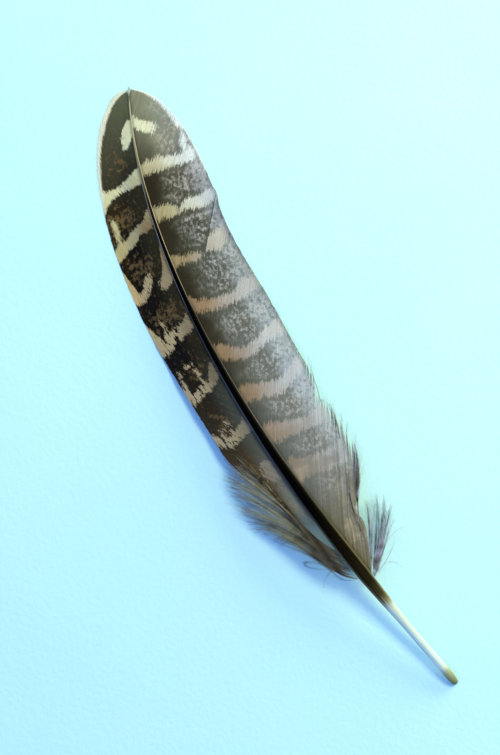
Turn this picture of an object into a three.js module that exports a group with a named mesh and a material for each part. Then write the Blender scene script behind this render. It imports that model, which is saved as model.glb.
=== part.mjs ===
// A turkey wing feather lying on a flat surface, its upper side up.
//
// One horn shaft runs the whole length: the bare quill at -Y, then the rachis, which thins to the
// tip at +Y. It bows sideways towards -X and arches off the surface. A narrow vane grows from its
// -X side and a wide vane from its +X side, each a thin cambered blade whose outer part lies on the
// surface. Two tufts of loose down grow below the vanes. Units are millimetres, +Z up, and the
// origin is the middle of the bounding box at the surface the feather lies on.

import * as THREE from "three";

// ---- Driving dimensions ------------------------------------------------------------------------

const SHAFT_LENGTH = 305; // along the curved shaft, from the quill's end to the tip
const QUILL_WIDTH = 3.8; // the bare quill
const SHAFT_WIDTH = 6.2; // the shaft where the vanes begin, its widest place
const TIP_WIDTH = 0.5;
const DEPTH_SHARE = 0.92; // the shaft's height, as a share of its width
const ARCH_HEIGHT = 10.5; // how far the arch lifts the shaft's underside off the surface
const WIDE_VANE = 33.3; // half way along, from the shaft's middle line to the outer edge
const NARROW_VANE = 18.6;
const VANE_THICKNESS_AT_SHAFT = 0.9;
const VANE_THICKNESS_AT_EDGE = 0.5;
const DOWN_THICKNESS = 1.6;
const GAP = 0.3; // clearance between neighbouring pieces

// Places along the shaft are shares of its length: 0 at the quill's end, 1 at the tip.
const QUILL_ENDS = 0.1; // the bare quill begins to widen into the shaft
const WIDEST_AT = 0.25;
const VANES_BEGIN = 0.2;
const VANES_END = 0.988;

// ---- The shaft's line --------------------------------------------------------------------------

const radians = THREE.MathUtils.degToRad;
const lerp = THREE.MathUtils.lerp;
const clamp01 = (t) => THREE.MathUtils.clamp(t, 0, 1);
const smooth = (t) => THREE.MathUtils.smoothstep(t, 0, 1);

// Which way the shaft runs in plan, measured from +Y towards -X. It turns slowly at first and
// hooks over at the tip.
const ROOT_HEADING = 12.35;
const BEND = 31;
const BEND_POWER = 1.7;
const TIP_HOOK = 8;
const HOOK_POWER = 8;
const QUILL_CURL = 2; // the quill's end turns back a little, fading over QUILL_CURL_OVER
const QUILL_CURL_OVER = 0.06;

function heading(u) {
  const t = clamp01(u);
  const curl = QUILL_CURL * Math.exp(-t / QUILL_CURL_OVER);
  return radians(ROOT_HEADING - BEND * t ** BEND_POWER - TIP_HOOK * t ** HOOK_POWER - curl);
}

// The plan line, integrated from the heading in short steps.
const LINE_STEPS = 600;
const STEP = SHAFT_LENGTH / LINE_STEPS;
const line = [new THREE.Vector2(0, 0)];
for (let i = 0; i < LINE_STEPS; i++) {
  const h = heading((i + 0.5) / LINE_STEPS);
  line.push(line[i].clone().add(new THREE.Vector2(-Math.sin(h) * STEP, Math.cos(h) * STEP)));
}

// The plan point at distance `along` the shaft and `aside` of it, +X side positive. Past either end
// the line carries straight on.
function planPoint(along, aside) {
  const place = along / STEP;
  const i = THREE.MathUtils.clamp(Math.floor(place), 0, LINE_STEPS - 1);
  const h = heading(along / SHAFT_LENGTH);
  const onLine = line[i].clone().lerp(line[i + 1], place - i);
  return onLine.add(new THREE.Vector2(Math.cos(h) * aside, Math.sin(h) * aside));
}

// ---- Section sizes and heights along the shaft -------------------------------------------------

const QUILL_END_ROUNDING = 0.022; // share of the length over which the quill's end is rounded
const QUILL_END_SHARE = 0.35; // width left at the very end, as a share
const TAPER_POWER = 1.15;

function shaftWidth(u) {
  if (u > WIDEST_AT) {
    const left = clamp01((1 - u) / (1 - WIDEST_AT));
    return TIP_WIDTH + (SHAFT_WIDTH - TIP_WIDTH) * left ** TAPER_POWER;
  }
  const widened = smooth((u - QUILL_ENDS) / (WIDEST_AT - QUILL_ENDS));
  const grown = lerp(QUILL_WIDTH, SHAFT_WIDTH, widened);
  const rounding = 1 - clamp01(u / QUILL_END_ROUNDING);
  return grown * lerp(QUILL_END_SHARE, 1, Math.sqrt(1 - rounding * rounding));
}

// The arch: nothing at the quill's end, highest a little past four tenths, and tangent to the
// surface at the tip.
const ARCH_POWER = 1.4;
const ARCH_PEAK_AT = 1 / (1 + ARCH_POWER);
const archShape = (u) => u * (1 - u) ** ARCH_POWER;

function lift(u) {
  const t = clamp01(u);
  return (ARCH_HEIGHT * archShape(t)) / archShape(ARCH_PEAK_AT);
}

const shaftMiddle = (u) => lift(u) + (shaftWidth(u) * DEPTH_SHARE) / 2;

// ---- The shaft: round at the quill, a rounded square with a groove beneath along the vanes ------

const SHAFT_SIDES = 16;
const SHAFT_STATIONS = 64;
const STATION_EVENNESS = 0.8; // 1 spaces them evenly, and less crowds them at the quill's end
const SQUARENESS = 0.72; // 1 is round, and less is squarer
const SQUARES_BEFORE = 0.05; // the section begins to change this far before the vanes,
const SQUARES_OVER = 0.08; // and has changed over this share of the length
const GROOVE_DEPTH = 0.3; // of the half height, along the underside
const GROOVE_SHARPNESS = 12; // more makes the groove narrower

function shaftGeometry() {
  const profile = [new THREE.Vector2(0, 0)];
  for (let i = 0; i <= SHAFT_STATIONS; i++) {
    const t = i / SHAFT_STATIONS;
    profile.push(new THREE.Vector2(1, lerp(t * t, t, STATION_EVENNESS)));
  }
  profile.push(new THREE.Vector2(0, 1));
  const geometry = new THREE.LatheGeometry(profile, SHAFT_SIDES);
  const at = geometry.getAttribute("position");
  for (let i = 0; i < at.count; i++) {
    const u = clamp01(at.getY(i));
    const out = Math.hypot(at.getX(i), at.getZ(i)); // 1 on the wall, 0 on the axis at the two ends
    const angle = Math.atan2(at.getZ(i), at.getX(i));
    const vaned = smooth((u - VANES_BEGIN + SQUARES_BEFORE) / SQUARES_OVER);
    const squared = lerp(1, SQUARENESS, vaned);
    const across = Math.sign(Math.cos(angle)) * Math.abs(Math.cos(angle)) ** squared;
    const up = Math.sign(Math.sin(angle)) * Math.abs(Math.sin(angle)) ** squared;
    const groove = vaned * GROOVE_DEPTH * Math.max(0, -Math.sin(angle)) ** GROOVE_SHARPNESS;
    const half = (shaftWidth(u) / 2) * out;
    const place = planPoint(u * SHAFT_LENGTH, across * half);
    at.setXYZ(i, place.x, place.y, shaftMiddle(u) + (up + groove) * half * DEPTH_SHARE);
  }
  return geometry;
}

// ---- Barb lines --------------------------------------------------------------------------------

// A vane is bounded by the lines that its barbs take: each leaves the shaft at an angle and bends
// towards the tip until it meets the vane's outline. The outer barbs at a vane's base are loose, so
// that its firm part is only `looseReach` wide there, and most so on the narrow vane.
const WIDE = {
  side: 1,
  reach: WIDE_VANE,
  looseReach: WIDE_VANE * 0.94,
  firmFrom: 0.4,
  firmBy: 0.6,
  swell: -0.13, // past the middle it narrows by this share
  swellFrom: 0.6,
  swellBy: 0.8,
  shoulder: 0.8, // where it begins to round over towards the tip
  end: 1.002,
  tipPower: 2.2,
  root: VANES_BEGIN,
  baseAngle: 30,
  tipAngle: 25,
  bendShare: 0.15, // of the angle, lost over BEND_OVER
  droop: 9.2, // how far the outer edge hangs below the vane's root
  droopPower: 1.6,
};
const NARROW = {
  side: -1,
  reach: NARROW_VANE,
  looseReach: 9.6,
  firmFrom: 0.36,
  firmBy: 0.5,
  swell: 0.13,
  swellFrom: 0.5,
  swellBy: 0.7,
  shoulder: 0.74,
  end: 1,
  tipPower: 2.5,
  root: VANES_BEGIN + 0.045,
  baseAngle: 36,
  tipAngle: 24,
  bendShare: 0.5,
  droop: 8.2,
  droopPower: 1.35,
};
const BEND_OVER = 70;
const BARB_STEP = 0.25;
const LONGEST_BARB = 120;

// The vane's width from the shaft's middle line, at share u of the length.
function outline(vane, u) {
  const firm = smooth((u - vane.firmFrom) / (vane.firmBy - vane.firmFrom));
  const swollen = smooth((u - vane.swellFrom) / (vane.swellBy - vane.swellFrom));
  const beyond = clamp01((u - vane.shoulder) / (vane.end - vane.shoulder));
  const body = lerp(vane.looseReach, vane.reach, firm) + vane.reach * vane.swell * swollen;
  return body * Math.sqrt(1 - beyond ** vane.tipPower);
}

// The places (along, aside) of one barb, `count` + 1 of them from the shaft's side to the outline.
function barbLine(vane, u, count) {
  const angle = lerp(vane.baseAngle, vane.tipAngle, (u - VANES_BEGIN) / (1 - VANES_BEGIN));
  const steps = [[u * SHAFT_LENGTH, shaftWidth(u) / 2 + GAP]];
  let run = 0;
  while (run < LONGEST_BARB) {
    const [along, aside] = steps[steps.length - 1];
    if (aside >= outline(vane, along / SHAFT_LENGTH)) break;
    const turned = radians(angle * (1 - (vane.bendShare * run) / BEND_OVER));
    steps.push([along + Math.cos(turned) * BARB_STEP, aside + Math.sin(turned) * BARB_STEP]);
    run += BARB_STEP;
  }
  const last = steps.length - 1;
  return Array.from({ length: count + 1 }, (_, k) => {
    const place = (k / count) * last;
    const i = Math.min(Math.floor(place), last - 1);
    return [0, 1].map((axis) => lerp(steps[i][axis], steps[i + 1][axis], place - i));
  });
}

// How high the middle of a vane lies: it leaves the upper side of the shaft and droops outwards.
const ROOT_RISE = 0.12; // of the shaft's depth, above its middle

function vaneHeight(vane, along, aside) {
  const u = clamp01(along / SHAFT_LENGTH);
  const root = shaftMiddle(u) + ROOT_RISE * shaftWidth(u) * DEPTH_SHARE;
  return root - vane.droop * (aside / vane.reach) ** vane.droopPower;
}

// ---- Vanes -------------------------------------------------------------------------------------

const VANE_STATIONS = 48;
const VANE_STRIPS = 7;

// A box whose length runs along the shaft and whose width runs along the barbs, carried onto the
// vane's surface. Where the surface would sink below the ground, the vane lies flat on it.
function vaneGeometry(vane) {
  const geometry = new THREE.BoxGeometry(1, 1, 1, VANE_STATIONS, VANE_STRIPS, 1);
  const lines = Array.from({ length: VANE_STATIONS + 1 }, (_, i) =>
    barbLine(vane, lerp(vane.root, VANES_END, i / VANE_STATIONS), VANE_STRIPS),
  );
  const at = geometry.getAttribute("position");
  for (let i = 0; i < at.count; i++) {
    const station = Math.round((at.getX(i) + 0.5) * VANE_STATIONS);
    const strip = Math.round((at.getY(i) + 0.5) * VANE_STRIPS);
    const [along, aside] = lines[station][strip];
    const thickness = lerp(VANE_THICKNESS_AT_SHAFT, VANE_THICKNESS_AT_EDGE, strip / VANE_STRIPS);
    const under = Math.max(0, vaneHeight(vane, along, aside) - thickness / 2);
    const place = planPoint(along, vane.side * aside);
    at.setXYZ(i, place.x, place.y, at.getZ(i) > 0 ? under + thickness : under);
  }
  return facingOut(geometry, vane.side);
}

// Carried onto the +X side, a box whose length runs along the shaft is a mirror image, so its faces
// are turned round. On the -X side they already face out.
function facingOut(geometry, side) {
  if (side < 0) return geometry;
  const index = geometry.getIndex();
  for (let i = 0; i < index.count; i += 3) {
    const [a, b] = [index.getX(i), index.getX(i + 1)];
    index.setX(i, b);
    index.setX(i + 1, a);
  }
  return geometry;
}

// ---- Down --------------------------------------------------------------------------------------

// A tuft is a fan of loose barbs. Each is a curve from a root on the shaft, past a bend, to a tip.
// The places are (along, aside) in millimetres, from the quill's end and the shaft's middle line.
const WIDE_SIDE_DOWN = {
  side: 1,
  roots: [[57.5, 3.3], [60.3, 3.4]],
  bends: [[61, 13], [72, 12]],
  tips: [[68, 27], [80, 31], [90, 22]],
  heights: [8.2, 7.5, 3.5], // of a barb's root, bend and tip
};
const NARROW_SIDE_DOWN = {
  side: -1,
  roots: [[60, 3.5], [68, 3.8]],
  bends: [[66, 12], [80, 15]],
  tips: [[78, 17], [104, 33], [138, 19]],
  heights: [8.4, 8, 3.4],
};
const FAN_STATIONS = 10;
const FAN_STRIPS = 8;

const curveThrough = (places) =>
  new THREE.QuadraticBezierCurve(...places.map((place) => new THREE.Vector2(...place)));
const lineThrough = ([first, last]) =>
  new THREE.LineCurve(new THREE.Vector2(...first), new THREE.Vector2(...last));

function downGeometry(tuft) {
  const roots = lineThrough(tuft.roots);
  const bends = lineThrough(tuft.bends);
  const tips = curveThrough(tuft.tips);
  const fall = curveThrough(tuft.heights.map((height, k) => [k, height]));
  const geometry = new THREE.BoxGeometry(1, 1, 1, FAN_STATIONS, FAN_STRIPS, 1);
  const at = geometry.getAttribute("position");
  for (let i = 0; i < at.count; i++) {
    const round = at.getX(i) + 0.5;
    const out = at.getY(i) + 0.5;
    const barb = [roots, bends, tips].map((curve) => curve.getPoint(round).toArray());
    const [along, aside] = curveThrough(barb).getPoint(out).toArray();
    const place = planPoint(along, tuft.side * aside);
    const middle = fall.getPoint(out).y;
    at.setXYZ(i, place.x, place.y, middle + at.getZ(i) * DOWN_THICKNESS);
  }
  return facingOut(geometry, tuft.side);
}

// ---- Finishes and assembly ---------------------------------------------------------------------

function finish(color, roughness) {
  return new THREE.MeshStandardMaterial({ color, roughness, metalness: 0 });
}

const horn = finish(0x1d1711, 0.35);
const darkVane = finish(0x3b3026, 0.7);
const greyVane = finish(0x7d7468, 0.7);
const down = finish(0x857f7a, 0.95);

function piece(name, geometry, material) {
  const mesh = new THREE.Mesh(geometry, material);
  mesh.name = name;
  return mesh;
}

const feather = new THREE.Group();
feather.add(
  piece("shaft", shaftGeometry(), horn),
  piece("narrow_vane", vaneGeometry(NARROW), darkVane),
  piece("wide_vane", vaneGeometry(WIDE), greyVane),
  piece("down_narrow_side", downGeometry(NARROW_SIDE_DOWN), down),
  piece("down_wide_side", downGeometry(WIDE_SIDE_DOWN), down),
);

// Stand the bounding box on the origin.
const box = new THREE.Box3().setFromObject(feather);
const middle = box.getCenter(new THREE.Vector3());
feather.position.set(-middle.x, -middle.y, -box.min.z);

export default feather;
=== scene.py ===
import bpy
import numpy as np
from mathutils import Matrix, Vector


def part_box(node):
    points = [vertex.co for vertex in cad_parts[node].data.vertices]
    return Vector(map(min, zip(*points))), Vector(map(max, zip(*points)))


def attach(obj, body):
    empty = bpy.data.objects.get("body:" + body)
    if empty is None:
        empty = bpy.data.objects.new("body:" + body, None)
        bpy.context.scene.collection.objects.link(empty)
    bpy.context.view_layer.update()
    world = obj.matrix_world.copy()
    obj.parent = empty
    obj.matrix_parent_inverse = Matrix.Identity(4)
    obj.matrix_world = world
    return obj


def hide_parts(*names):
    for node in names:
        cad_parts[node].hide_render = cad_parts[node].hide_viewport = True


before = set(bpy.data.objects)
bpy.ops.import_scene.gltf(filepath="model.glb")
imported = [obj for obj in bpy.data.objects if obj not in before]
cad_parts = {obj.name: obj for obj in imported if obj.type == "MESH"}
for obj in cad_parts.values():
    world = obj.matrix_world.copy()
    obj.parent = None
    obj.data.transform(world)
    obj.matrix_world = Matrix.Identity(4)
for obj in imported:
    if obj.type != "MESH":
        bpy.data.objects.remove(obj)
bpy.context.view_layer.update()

# A turkey wing feather lying on a sheet of paper, upper side up. Sizes are in millimetres until a
# mesh is made. A place on the feather is given as `along`, the distance up the shaft's curved middle
# line from the quill's end, and `aside`, the distance out from that line.

# ---- Shaft -------------------------------------------------------
# The quill and the rachis are one horn tube that grew with the feather. The bare quill is round,
# hollow and clear, and ends in the small hole it was fed through. Above it the horn is squarish, near
# black on top, and grooved along the underside.

SHAFT_LENGTH = 305.0
QUILL_WIDTH = 3.8
SHAFT_WIDTH = 6.2
TIP_WIDTH = 0.5
DEPTH_SHARE = 0.92
ARCH_HEIGHT = 10.5
SHAFT_ROWS = 420
SHAFT_SIDES = 32
LINE_POINTS = 601
BAKE_STRIPS = 8


def smooth(t):
    """0 below 0 and 1 above 1, and t²(3 − 2t) between."""
    t = np.clip(t, 0, 1)
    return t * t * (3 - 2 * t)


def heading(along):
    """The way the shaft runs, in radians from +Y towards −X: 12.35° − 31°·u^1.7 − 8°·u^8 − 2°·e^(−u/0.06),
    where u is the share of the length."""
    u = np.clip(along / SHAFT_LENGTH, 0, 1)
    return np.radians(12.35 - 31 * u**1.7 - 8 * u**8 - 2 * np.exp(-u / 0.06))


line_along = np.linspace(0, SHAFT_LENGTH, LINE_POINTS)
line_step = line_along[1]
line_turn = heading(line_along[:-1] + line_step / 2)
line_x = np.concatenate([[0], np.cumsum(-np.sin(line_turn) * line_step)])
line_y = np.concatenate([[0], np.cumsum(np.cos(line_turn) * line_step)])


def on_plan(along, aside, height):
    """Points (x, y, height): the middle line's point at `along`, moved `aside` square to the line's
    heading, +X side positive. Past either end the line carries straight on."""
    turn = heading(along)
    past = np.minimum(along, 0) + np.maximum(along - SHAFT_LENGTH, 0)
    x = np.interp(along, line_along, line_x) - np.sin(turn) * past + np.cos(turn) * aside
    y = np.interp(along, line_along, line_y) + np.cos(turn) * past + np.sin(turn) * aside
    return np.stack([x, y, height], -1)


def shaft_width(along):
    """Above a quarter of the length, 0.5 + 5.7·(share left / 0.75)^1.15. Below it the quill's 3.8 widens
    smoothly to 6.2, and the last 2% is rounded in to 35%."""
    u = np.clip(along / SHAFT_LENGTH, 0, 1)
    tapered = TIP_WIDTH + (SHAFT_WIDTH - TIP_WIDTH) * np.minimum((1 - u) / 0.75, 1) ** 1.15
    grown = QUILL_WIDTH + (SHAFT_WIDTH - QUILL_WIDTH) * smooth((u - 0.1) / 0.15)
    rounding = 1 - np.clip(u / 0.022, 0, 1)
    return np.where(u > 0.25, tapered, grown * (0.35 + 0.65 * np.sqrt(1 - rounding**2)))


def shaft_middle(along):
    """The height of the shaft's middle: an arch of u(1 − u)^1.4, 10.5 high at its peak, plus half the
    shaft's depth."""
    u = np.clip(along / SHAFT_LENGTH, 0, 1)
    peak = (1 / 2.4) * (1.4 / 2.4) ** 1.4
    return ARCH_HEIGHT * u * (1 - u) ** 1.4 / peak + shaft_width(along) * DEPTH_SHARE / 2


def tubes(count, rows, sides, first=0):
    """The faces of `count` tubes, each `rows` rings of `sides` points, numbered from `first`: a quad between
    each two rings and sides, and a cap over each end. Also, for every corner, its tube, row and side and
    its face's first row and side, where a quad's last side is numbered `sides` and not 0. Seen along the
    tube, a ring runs from the right over the top."""
    tube, row, side = np.meshgrid(np.arange(count), np.arange(rows - 1), np.arange(sides), indexing="ij")
    steps = ((0, 0), (1, 0), (1, 1), (0, 1))
    wall = np.stack([np.stack([tube, row + up, side + on, row, side], -1) for up, on in steps], -2)
    tube, side = np.meshgrid(np.arange(count), np.arange(sides), indexing="ij")
    near = np.stack([tube, 0 * tube, side, 0 * tube, 0 * tube], -1)
    far = np.stack([tube, 0 * tube + rows - 1, side, 0 * tube + rows - 2, 0 * tube], -1)[:, ::-1]
    faces = []
    corners = []
    for places in (wall.reshape(-1, 4, 5), near, far):
        ring = places[..., 0] * rows + places[..., 1]
        faces += (first + ring * sides + places[..., 2] % sides).tolist()
        corners.append(places.reshape(-1, 5))
    return faces, np.concatenate(corners)


def put_in_scene(name, data):
    """An object with that mesh, lamp or camera, in the scene."""
    thing = bpy.data.objects.new(name, data)
    bpy.context.scene.collection.objects.link(thing)
    return thing


def make_piece(name, points, faces, maps, values, node, rounded):
    """A mesh object with its points moved from millimetres to their place in metres, its UV maps as
    (u, v) per corner and its values as one number per point. It rides on the body and stands for `node`."""
    mesh = bpy.data.meshes.new(name)
    mesh.from_pydata((points.reshape(-1, 3) + to_cad) / 1000, [], faces)
    for title, places in maps.items():
        mesh.uv_layers.new(name=title).uv.foreach_set("vector", places.astype(np.float32).ravel())
    for title, numbers in values.items():
        layer = mesh.attributes.new(title, "FLOAT", "POINT")
        layer.data.foreach_set("value", numbers.astype(np.float32).ravel())
    mesh.polygons.foreach_set("use_smooth", np.full(len(mesh.polygons), rounded))
    mesh.update()
    piece = put_in_scene(name, mesh)
    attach(piece, "root")
    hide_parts(node)
    return piece


# Rows 0 to 5 line the little hole in the quill's end, and the rest run up to the tip.
hole_along = np.array([1.6, 1.5, 1.0, 0.4, 0.05, -0.02])
hole_out = np.array([0.12, 0.4, 0.5, 0.55, 0.62, 0.8])
wall_along = SHAFT_LENGTH * np.linspace(0, 1, SHAFT_ROWS) ** 1.15
along = np.concatenate([hole_along, wall_along])[:, None]
out = np.concatenate([hole_out, np.ones(SHAFT_ROWS)])[:, None]
angle = (np.arange(SHAFT_SIDES) / SHAFT_SIDES * 2 * np.pi - np.pi / 2)[None, :]

# A power of cosine and sine below 1 makes the round section squarer where the vanes grow.
vaned = smooth((along / SHAFT_LENGTH - 0.15) / 0.08)
squareness = 1 - 0.28 * vaned
across = np.sign(np.cos(angle)) * np.abs(np.cos(angle)) ** squareness
up = np.sign(np.sin(angle)) * np.abs(np.sin(angle)) ** squareness
groove = 0.3 * vaned * np.maximum(0, -np.sin(angle)) ** 12
half = shaft_width(along) / 2 * out
height = shaft_middle(along) + (up + groove) * half * DEPTH_SHARE
points = on_plan(along + 0 * across, across * half, height)

# The same line is drawn in the CAD, so one shift carries every piece to its place there.
cad_low, cad_high = (np.array(corner) * 1000 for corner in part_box("shaft"))
low = points.reshape(-1, 3).min(0)
high = points.reshape(-1, 3).max(0)
to_cad = (cad_low + cad_high - low - high) / 2 * (1, 1, 0)

# For the export, the horn is laid out in strips, one above another.
rows = len(along)
faces, corners = tubes(1, rows, SHAFT_SIDES)
horn_around = corners[:, 2] / SHAFT_SIDES
horn_places = np.stack([along[corners[:, 1], 0] / SHAFT_LENGTH, horn_around], -1)
horn_strip = corners[:, 3] * BAKE_STRIPS // (rows - 1)
horn_run = corners[:, 1] * BAKE_STRIPS / (rows - 1) - horn_strip
horn_bake = np.stack([0.005 + 0.98 * horn_run, (horn_strip + 0.05 + 0.9 * horn_around) / BAKE_STRIPS], -1)

shaft = make_piece(
    "shaft_horn", points, faces,
    {"horn": horn_places, "OFBake": horn_bake}, {},
    "shaft", True,
)


# The light on the feather is this much stronger, in red, green and blue, than one that shows white as white.
LIGHT_GAIN = (1.27, 1.21, 1.19)


def rgb(red, green, blue):
    """The linear numbers that nodes take for a colour in the usual 0 to 255 numbers, as it should look in
    this light: c/12.92 below 0.04045 and ((c + 0.055)/1.055)^2.4 above it, over the light's gain."""
    shown = np.array([red, green, blue]) / 255
    linear = np.where(shown < 0.04045, shown / 12.92, ((shown + 0.055) / 1.055) ** 2.4)
    return (*linear / LIGHT_GAIN, 1.0)


def new_finish(name):
    """An empty material, its node tree and its shader. The helpers below add to the tree named `tree`."""
    finish = bpy.data.materials.new(name)
    finish.use_nodes = True
    return finish, finish.node_tree, finish.node_tree.nodes["Principled BSDF"]


def plug(socket, value):
    """Links another node's output to the socket, or sets it to a number or colour. None leaves it."""
    if isinstance(value, bpy.types.NodeSocket):
        tree.links.new(value, socket)
    elif value is not None:
        socket.default_value = value


def add_node(kind, *inputs, **settings):
    """A shader node with these settings, and its inputs in order."""
    node = tree.nodes.new("ShaderNode" + kind)
    for title, value in settings.items():
        setattr(node, title, value)
    for socket, value in zip(node.inputs, inputs):
        plug(socket, value)
    return node


def sums(operation, *inputs):
    """The result of a Math node."""
    return add_node("Math", *inputs, operation=operation).outputs[0]


def times(first, second):
    """first·second."""
    return sums("MULTIPLY", first, second)


def scaled(value, scale, shift):
    """value·scale + shift."""
    return sums("MULTIPLY_ADD", value, scale, shift)


def strayed_by(value, *noises):
    """The value plus amount·(noise − 0.5) for each (noise, amount)."""
    for pattern, amount in noises:
        value = scaled(sums("SUBTRACT", pattern, 0.5), amount, value)
    return value


def fade(value, low, high):
    """0 where value is below low and 1 above high, smooth between."""
    return add_node("MapRange", value, low, high, 0.0, 1.0, interpolation_type="SMOOTHSTEP").outputs[0]


def paint(share, under, over, how="MIX"):
    """`under` with that share of `over` laid on it."""
    node = tree.nodes.new("ShaderNodeMix")
    node.data_type = "RGBA"
    node.blend_type = how
    for number, value in ((0, share), (6, under), (7, over)):
        plug(node.inputs[number], value)
    return node.outputs[2]


def colours_by(value, *stops):
    """A colour that runs through the stops, each (value, red, green, blue)."""
    node = add_node("ValToRGB", value)
    ramp = node.color_ramp
    while len(ramp.elements) < len(stops):
        ramp.elements.new(0.5)
    for element, stop in zip(ramp.elements, stops):
        element.position = stop[0]
        element.color = rgb(*stop[1:])
    return node.outputs[0]


def map_of(title, across_scale, up_scale):
    """A UV map's (u, v), each multiplied by its scale."""
    place = add_node("UVMap", uv_map=title).outputs[0]
    return add_node("VectorMath", place, (across_scale, up_scale, 1.0), operation="MULTIPLY").outputs[0]


def noise(place, scale, detail, roughness=0.5):
    """Noise from 0 to 1 at that place."""
    return add_node("TexNoise", place, None, scale, detail, roughness).outputs["Fac"]


def value_of(title):
    """A number stored on the mesh under that name."""
    return add_node("Attribute", attribute_name=title).outputs["Fac"]


def set_surface(colour, roughness, specular):
    """Gives the shader named `surface` its colour, roughness and specular level."""
    plug(surface.inputs["Base Color"], colour)
    plug(surface.inputs["Roughness"], roughness)
    surface.inputs["Specular IOR Level"].default_value = specular


def roughen(height, strength, distance):
    """Gives the shader a bump of that height from 0 to 1, `distance` metres deep."""
    bump = add_node("Bump", strength, distance)
    tree.links.new(height, bump.inputs["Height"])
    tree.links.new(bump.outputs[0], surface.inputs["Normal"])


horn, tree, surface = new_finish("horn")
u, v = add_node("SeparateXYZ", map_of("horn", 1.0, 1.0)).outputs[:2]
streaks = noise(map_of("horn", 30.0, 22.0), 1.0, 4.0)
blotches = noise(map_of("horn", 60.0, 4.0), 1.0, 3.0)
shifted = strayed_by(u, (streaks, 0.03))

# The horn's back is worn brown at the quill's end, then clear and pale, near black beside the vanes and
# pale again at the tip. The clear quill's pale blue-green is painted, standing in for the paper seen
# through the horn. Its flanks and its underside are lighter beside the vanes; the flanks' light strip is
# partly paler horn and partly a painted highlight.
crown = colours_by(
    shifted, (0.0, 116, 130, 84), (0.012, 140, 152, 110), (0.026, 162, 178, 142),
    (0.034, 210, 238, 230), (0.09, 206, 238, 232), (0.15, 196, 222, 210), (0.163, 130, 126, 94),
    (0.176, 66, 60, 36), (0.20, 36, 32, 16), (0.25, 20, 16, 6), (0.34, 2, 2, 1), (0.78, 2, 2, 1),
    (0.84, 40, 32, 20), (0.94, 168, 166, 132), (1.0, 190, 190, 156),
)
# The flanks' colour is partly paler horn and partly a painted highlight along the shaft.
flank_and_highlight = colours_by(
    shifted, (0.0, 104, 118, 78), (0.012, 142, 152, 108), (0.026, 170, 184, 142),
    (0.034, 220, 246, 238), (0.15, 206, 230, 214), (0.166, 134, 130, 92), (0.20, 96, 96, 72),
    (0.25, 98, 96, 72), (0.36, 62, 62, 54), (0.48, 94, 94, 98), (0.66, 74, 76, 76),
    (0.82, 214, 206, 186), (0.94, 206, 206, 168), (1.0, 200, 200, 166),
)
around = scaled(streaks, 0.05, v)
on_right = fade(around, 0.412, 0.372)
on_left = fade(around, 0.615, 0.655)
on_flank = sums("MAXIMUM", on_right, on_left)
under_side = fade(sums("ABSOLUTE", sums("SUBTRACT", v, 0.5)), 0.30, 0.42)
under_colour = colours_by(
    shifted, (0.0, 96, 78, 36), (0.03, 180, 166, 108), (0.036, 206, 222, 200), (0.15, 204, 216, 190),
    (0.2, 168, 156, 120), (0.6, 150, 138, 108), (1.0, 130, 120, 100),
)
colour = paint(on_flank, crown, flank_and_highlight)
colour = paint(under_side, colour, under_colour)
darker = paint(1.0, colour, (0.72, 0.72, 0.72, 1.0), "MULTIPLY")
colour = paint(fade(streaks, 0.4, 0.75), colour, darker)
set_surface(colour, scaled(blotches, 0.22, 0.22), 0.015)
roughen(streaks, 0.25, 0.00015)
shaft.data.materials.append(horn)

# ---- Wide vane ---------------------------------------------------
# The trailing vane: some five hundred keratin barbs, each a thin blade that grows out of the shaft's
# side and leans towards the tip. Hooked barbules zip neighbours together, and the outer edge hangs
# down to the paper. Pale bars cross grey-brown, fainter towards the base.

BARB_SPACING = 0.5
BARB_HALF_WIDTH = 0.2
BARB_ROWS = 29
BARB_STEP = 0.25
LONGEST_BARB = 130
PAPER_CLEARANCE = 0.14


def vane_width(along, reach, loose_reach, firm, swell, swollen, shoulder, end, tip_power):
    """The distance from the middle line to the vane's edge: the loose width passing smoothly into the
    full one, plus a swelling past the middle, all times √(1 − share of the tip^power)."""
    u = along / SHAFT_LENGTH
    width = loose_reach + (reach - loose_reach) * smooth((u - firm[0]) / (firm[1] - firm[0]))
    width = width + reach * swell * smooth((u - swollen[0]) / (swollen[1] - swollen[0]))
    past = np.clip((u - shoulder) / (end - shoulder), 0, 1)
    return width * np.sqrt(1 - past**tip_power)


def barb_lines(roots, angle, bend, bend_over, width_at, lengthen, stray):
    """The (along, aside) of evenly spaced places on each barb, a row of them per root. A barb leaves the
    shaft's flank at its angle in degrees, loses the share `bend` of it over `bend_over` millimetres, and
    ends `lengthen` millimetres past the vane's edge, which it turns to follow, no more than `stray` outside
    it. Also each barb's length."""
    run = np.arange(0, LONGEST_BARB, BARB_STEP)
    turn = np.radians(angle[:, None] * (1 - bend * np.minimum(run / bend_over, 1.1)))
    along = roots[:, None] + (np.cumsum(np.cos(turn), 1) - 1) * BARB_STEP
    aside = 0.25 * shaft_width(roots)[:, None] + (np.cumsum(np.sin(turn), 1) - 1) * BARB_STEP
    length = (aside >= width_at(along)).argmax(1) * BARB_STEP + lengthen
    place = np.clip(length[:, None] * np.linspace(0, 1, BARB_ROWS) / BARB_STEP, 0, len(run) - 1.01)
    low = place.astype(int)
    part = place - low
    between = [
        np.take_along_axis(line, low, 1) * (1 - part) + np.take_along_axis(line, low + 1, 1) * part
        for line in (along, aside)
    ]
    return between[0], np.minimum(between[1], width_at(between[0]) + stray[:, None]), length


def clumps(roots, smallest, largest, seed):
    """For each barb, the root in the middle of its clump, where clumps are of random sizes in that range,
    and a number from −1 to 1 that its clump shares."""
    chance = np.random.default_rng(seed)
    edges = roots[0] + np.cumsum(np.concatenate([[-0.1], chance.uniform(smallest, largest, 600)]))
    clump = np.searchsorted(edges, roots) - 1
    return (edges[clump] + edges[clump + 1]) / 2, chance.uniform(-1, 1, 601)[clump]


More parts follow.
